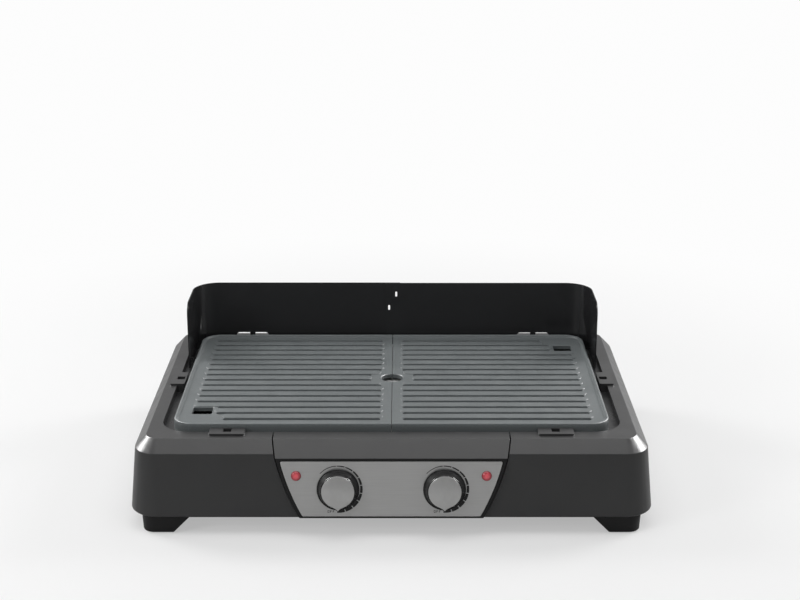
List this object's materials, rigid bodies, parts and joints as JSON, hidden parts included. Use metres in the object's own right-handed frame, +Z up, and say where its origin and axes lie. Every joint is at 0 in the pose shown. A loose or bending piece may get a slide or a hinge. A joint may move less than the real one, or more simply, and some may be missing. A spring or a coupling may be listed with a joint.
{
  "type": "electric countertop grill",
  "caption": "Low dark grey countertop electric grill with ribbed cast plates, a steel front panel with knobs and red lamps, slanted feet and a split black splash shield at the back.",
  "frame": {"origin": "the middle of the footprint box on the table, under the foot pads", "axes": "+X to the right seen from the front, +Y to the back, +Z up; the knobs face -Y"},
  "size_m": [0.547, 0.3853, 0.1716],
  "materials": {
    "housing_plastic": "satin, finely grained dark grey moulding",
    "brushed_steel": "brushed along the panel",
    "zinc_steel": "plain plated sheet steel",
    "foot_plastic": "matte black moulding",
    "pad_rubber": "soft matte rubber",
    "enamelled_pan": "dark enamel on sheet steel",
    "element_sheath": "dark oxidised sheath",
    "knob_plastic": "gloss black moulding",
    "lamp_red": "clear red lens",
    "wire_sleeve": "pale heat-resisting sleeve",
    "coated_cast": "die casting with a grey speckled non-stick coating",
    "shield_enamel": "gloss black enamel on sheet steel"
  },
  "bodies": {
    "base": {"housing": "housing_plastic", "control_housing": "housing_plastic", "control_panel": "brushed_steel", "control_bracket": "zinc_steel", "bracket_screws": "zinc_steel", "base_plate": "foot_plastic", "base_screws": "zinc_steel", "foot_front_left": "foot_plastic", "foot_front_right": "foot_plastic", "foot_rear_left": "foot_plastic", "foot_rear_right": "foot_plastic", "foot_pads": "pad_rubber", "pan": "enamelled_pan", "heat_shield": "zinc_steel", "element_left": "element_sheath", "element_right": "element_sheath", "element_supports": "zinc_steel", "thermostat_left": "zinc_steel", "thermostat_right": "zinc_steel", "lamp_lens_left": "lamp_red", "lamp_lens_right": "lamp_red", "lamp_holder_left": "foot_plastic", "lamp_holder_right": "foot_plastic", "cable_gland": "foot_plastic", "gland_nut": "foot_plastic", "terminal_block": "wire_sleeve", "wiring": "wire_sleeve"},
    "knob_left": {"knob_left": "knob_plastic", "knob_cap_left": "brushed_steel", "spindle_left": "zinc_steel"},
    "knob_right": {"knob_right": "knob_plastic", "knob_cap_right": "brushed_steel", "spindle_right": "zinc_steel"},
    "grill_plate_left": {"grill_plate_left": "coated_cast"},
    "grill_plate_right": {"grill_plate_right": "coated_cast"},
    "shield_left": {"shield_left": "shield_enamel"},
    "shield_right": {"shield_right": "shield_enamel"}
  },
  "joints": [
    {"name": "knob_left_turn", "type": "hinge", "parent": "base", "child": "knob_left", "pos_m": [-0.0548, -0.17895, 0.0522], "axis": [0, 0.9925, -0.1219], "range_deg": [0, 330]},
    {"name": "knob_right_turn", "type": "hinge", "parent": "base", "child": "knob_right", "pos_m": [0.0548, -0.17895, 0.0522], "axis": [0, 0.9925, -0.1219], "range_deg": [0, 330]},
    {"name": "grill_plate_left_lift", "type": "slide", "parent": "base", "child": "grill_plate_left", "axis": [0, 0, 1], "range_m": [0, 0.1]},
    {"name": "shield_left_lift", "type": "slide", "parent": "base", "child": "shield_left", "axis": [0, 0, 1], "range_m": [0, 0.1]},
    {"name": "grill_plate_right_lift", "type": "slide", "parent": "base", "child": "grill_plate_right", "axis": [0, 0, 1], "range_m": [0, 0.1]},
    {"name": "shield_right_lift", "type": "slide", "parent": "base", "child": "shield_right", "axis": [0, 0, 1], "range_m": [0, 0.1]}
  ]
}
